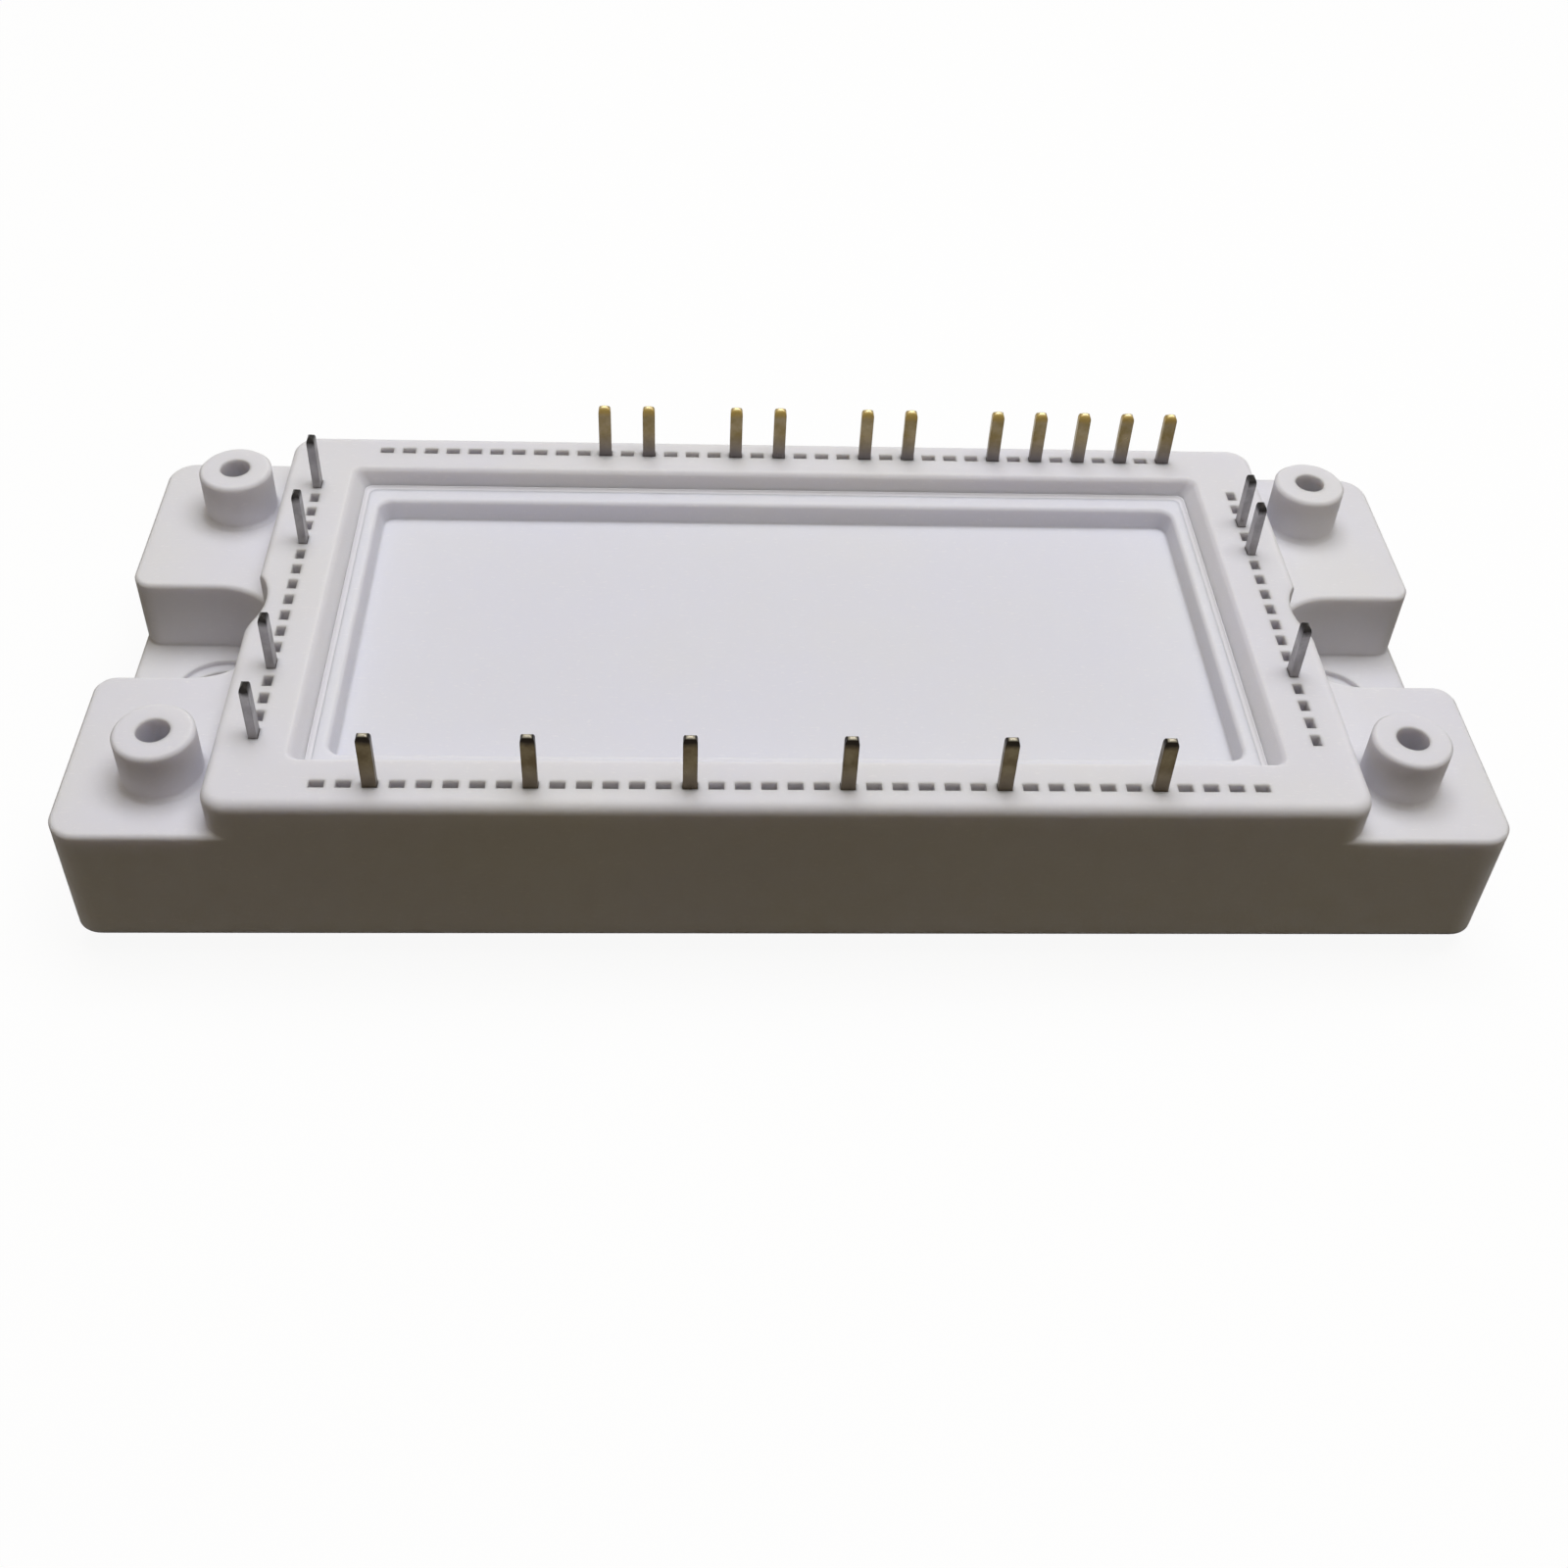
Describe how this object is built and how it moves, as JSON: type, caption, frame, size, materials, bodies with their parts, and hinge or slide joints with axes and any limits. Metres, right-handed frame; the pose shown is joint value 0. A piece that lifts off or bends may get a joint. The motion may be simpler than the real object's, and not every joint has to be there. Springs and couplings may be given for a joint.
{
  "type": "bridge rectifier module",
  "caption": "Power module in an off-white case with a bridge rectifier and inverter, blade terminals on top and a metal baseplate for a heat sink",
  "frame": {"origin": "centre of the baseplate's underside", "axes": "+X along the case to the right, -Y the front with the bare marking area, +Z from the baseplate to the terminals and the circuit board"},
  "size_m": [0.1076, 0.045, 0.021],
  "materials": {
    "case_plastic": "matte",
    "lid_plastic": "matte",
    "plated_plate": "satin",
    "terminal_metal": "satin",
    "silicone_adhesive": "satin",
    "solder": "satin",
    "bonded_copper": "satin",
    "alumina": "matte",
    "silicon": "gloss",
    "thermistor_body": "matte",
    "bond_aluminium": "satin",
    "clear_gel": "gloss"
  },
  "bodies": {
    "root": {"housing_frame": "case_plastic", "lid": "lid_plastic", "baseplate": "plated_plate", "pin_front_1": "terminal_metal", "pin_front_2": "terminal_metal", "pin_front_3": "terminal_metal", "pin_front_4": "terminal_metal", "pin_front_5": "terminal_metal", "pin_front_6": "terminal_metal", "pin_back_1": "terminal_metal", "pin_back_2": "terminal_metal", "pin_back_3": "terminal_metal", "pin_back_4": "terminal_metal", "pin_back_5": "terminal_metal", "pin_back_6": "terminal_metal", "pin_back_7": "terminal_metal", "pin_back_8": "terminal_metal", "pin_back_9": "terminal_metal", "pin_back_10": "terminal_metal", "pin_back_11": "terminal_metal", "pin_left_1": "terminal_metal", "pin_left_2": "terminal_metal", "pin_left_3": "terminal_metal", "pin_left_4": "terminal_metal", "pin_right_1": "terminal_metal", "pin_right_2": "terminal_metal", "pin_right_3": "terminal_metal", "seal_bead": "silicone_adhesive", "substrate_solder": "solder", "substrate_back_copper": "bonded_copper", "substrate_ceramic": "alumina", "substrate_tracks": "bonded_copper", "rectifier_diode_1": "silicon", "rectifier_diode_2": "silicon", "rectifier_diode_3": "silicon", "rectifier_diode_4": "silicon", "rectifier_diode_5": "silicon", "rectifier_diode_6": "silicon", "inverter_switch_1": "silicon", "inverter_switch_2": "silicon", "inverter_switch_3": "silicon", "inverter_switch_4": "silicon", "inverter_switch_5": "silicon", "inverter_switch_6": "silicon", "freewheel_diode_1": "silicon", "freewheel_diode_2": "silicon", "freewheel_diode_3": "silicon", "freewheel_diode_4": "silicon", "freewheel_diode_5": "silicon", "freewheel_diode_6": "silicon", "brake_diode": "silicon", "brake_switch": "silicon", "thermistor": "thermistor_body", "terminal_bonds": "bond_aluminium", "chip_bonds": "bond_aluminium", "silicone_gel": "clear_gel"}
  },
  "joints": []
}
